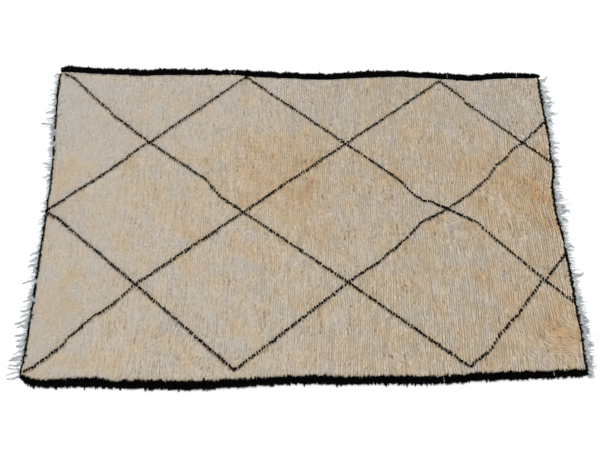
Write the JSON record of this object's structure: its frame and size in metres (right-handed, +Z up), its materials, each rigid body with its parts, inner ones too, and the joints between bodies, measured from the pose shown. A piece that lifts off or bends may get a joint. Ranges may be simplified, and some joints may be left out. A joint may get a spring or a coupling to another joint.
{
  "type": "beni ourain rug",
  "caption": "Flat hand-knotted long-pile wool rug in ivory with a black diamond lattice, black side borders and a ragged warp fringe at each end.",
  "frame": {"origin": "on the floor under the middle of the whole rug, fringes included", "axes": "+X along the rug's length, +Y across it from the near side to the far side, +Z up out of the pile"},
  "size_m": [3.1786, 1.9861, 0.019],
  "materials": {
    "ivory_wool": "hand-spun undyed ivory wool pile, matt, streaked with warmer yarns",
    "black_wool": "black wool pile, shaggy and matt",
    "warp_yarn": "pale grey-white twisted warp yarn and flat weave"
  },
  "bodies": {
    "root": {"pile_carpet": "ivory_wool", "border_far": "black_wool", "border_near": "black_wool", "fringe_left": "warp_yarn", "fringe_right": "warp_yarn"}
  },
  "joints": []
}
